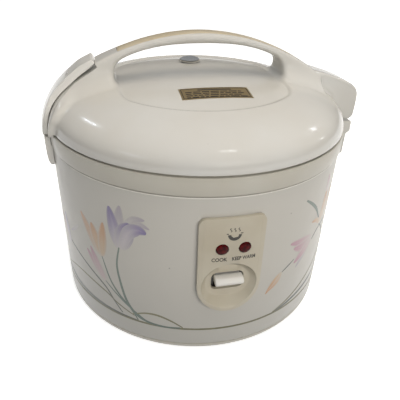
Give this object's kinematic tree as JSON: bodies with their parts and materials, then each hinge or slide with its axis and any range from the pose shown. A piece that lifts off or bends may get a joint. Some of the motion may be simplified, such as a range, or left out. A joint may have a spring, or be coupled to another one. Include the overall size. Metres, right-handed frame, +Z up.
{
  "type": "rice cooker",
  "caption": "Round electric rice cooker with a side-hinged domed lid, arched carrying handle, release lever, steam vent, lift-out pot and a one-lever cook switch.",
  "frame": {"origin": "centre of the flat underside of the base pan, on the axis of the round body", "axes": "+Z up along the body's axis, the control panel faces -Y, the lid hinge is at +X and the release lever at -X"},
  "size_m": [0.2758, 0.255, 0.2316],
  "materials": {
    "painted_shell": "printed and clear-coated enamel, satin gloss",
    "ivory_plastic": "glossy moulded plastic, slightly aged",
    "cream_plastic": "satin gloss",
    "beige_plastic": "satin",
    "black_phenolic": "matt",
    "rubber": "matt",
    "silicone": "satin",
    "spring_steel": "bright drawn",
    "galvanised": "spangled zinc",
    "aluminium": "spun",
    "cast_aluminium": "cast, satin",
    "ferrite": "matt ceramic",
    "red_lens": "clear red moulding",
    "circuit_board": "phenolic paper board",
    "foil_label": "printed foil",
    "brass": "polished"
  },
  "bodies": {
    "body": {"outer_shell": "painted_shell", "base_pan": "cream_plastic", "base_screw_1": "spring_steel", "base_screw_2": "spring_steel", "base_screw_3": "spring_steel", "foot_1": "rubber", "foot_2": "rubber", "foot_3": "rubber", "foot_4": "rubber", "upper_ring": "cream_plastic", "latch_keeper": "ivory_plastic", "hinge_base": "ivory_plastic", "hinge_pin": "spring_steel", "hinge_spring": "spring_steel", "inner_case": "galvanised", "side_heater_band": "aluminium", "support_frame": "galvanised", "heater_plate": "cast_aluminium", "heater_post_1": "spring_steel", "heater_post_2": "spring_steel", "heater_post_3": "spring_steel", "thermal_fuse": "aluminium", "sensor_housing": "galvanised", "sensor_spring": "spring_steel", "lever_bracket": "galvanised", "trip_pin": "spring_steel", "switch_bracket": "galvanised", "switch_pin": "spring_steel", "micro_switch": "black_phenolic", "control_panel": "cream_plastic", "cook_lamp_lens": "red_lens", "warm_lamp_lens": "red_lens", "lamp_board": "circuit_board", "power_inlet": "black_phenolic", "inlet_pin_1": "brass", "inlet_pin_2": "brass"},
    "lid": {"lid_cover": "ivory_plastic", "handle": "ivory_plastic", "handle_cover": "beige_plastic", "hinge_block": "ivory_plastic", "label_plate": "foil_label", "lid_liner": "beige_plastic", "steam_tube": "beige_plastic", "inner_lid": "aluminium", "lid_gasket": "silicone", "inner_lid_knob": "silicone", "lever_pin": "spring_steel", "lever_spring": "spring_steel"},
    "release_lever": {"release_lever": "ivory_plastic"},
    "vent_cap": {"steam_vent_cap": "aluminium"},
    "pot": {"inner_pot": "aluminium"},
    "cook_switch": {"cook_switch": "ivory_plastic"},
    "push_link": {"push_link": "spring_steel"},
    "trip_lever": {"trip_lever": "galvanised"},
    "magnet_rod": {"magnet_rod": "spring_steel", "lower_magnet": "ferrite"},
    "sensor": {"sensor_cap": "aluminium", "sensor_ferrite": "ferrite"}
  },
  "joints": [
    {"name": "lid_hinge", "type": "hinge", "parent": "body", "child": "lid", "pos_m": [0.1355, 0, 0.1625], "axis": [0, 1, 0], "range_deg": [0, 90]},
    {"name": "release_pivot", "type": "hinge", "parent": "lid", "child": "release_lever", "pos_m": [-0.1035, 0, 0.1965], "axis": [0, 1, 0], "range_deg": [0, 6], "stiffness_Nm_per_rad": 0.4, "springref_deg": -8.59, "deforming": ["lever_spring"]},
    {"name": "vent_lift", "type": "slide", "parent": "lid", "child": "vent_cap", "axis": [0, 0, 1], "range_m": [0, 0.015]},
    {"name": "pot_lift", "type": "slide", "parent": "body", "child": "pot", "axis": [0, 0, 1], "range_m": [0, 0.002]},
    {"name": "switch_pivot", "type": "hinge", "parent": "body", "child": "cook_switch", "pos_m": [0, -0.108, 0.074], "axis": [1, 0, 0], "range_deg": [0, 22], "stiffness_Nm_per_rad": 0.12, "springref_deg": -28.65},
    {"name": "link_slide", "type": "slide", "parent": "body", "child": "push_link", "axis": [0, 0, 1], "range_m": [-0.0026, 0]},
    {"name": "trip_pivot", "type": "hinge", "parent": "body", "child": "trip_lever", "pos_m": [0, -0.075, 0.0097], "axis": [1, 0, 0], "range_deg": [0, 4]},
    {"name": "magnet_slide", "type": "slide", "parent": "body", "child": "magnet_rod", "axis": [0, 0, 1], "range_m": [0, 0.005]},
    {"name": "sensor_slide", "type": "slide", "parent": "body", "child": "sensor", "axis": [0, 0, 1], "range_m": [-0.0015, 0], "stiffness_N_per_m": 400, "springref_m": 0.006, "deforming": ["sensor_spring"]}
  ],
  "couplings": [
    {"joint": "link_slide", "follows": "switch_pivot", "m_per_rad": -0.006146},
    {"joint": "trip_pivot", "follows": "switch_pivot", "ratio": 0.1564},
    {"joint": "magnet_slide", "follows": "switch_pivot", "m_per_rad": 0.01173}
  ]
}
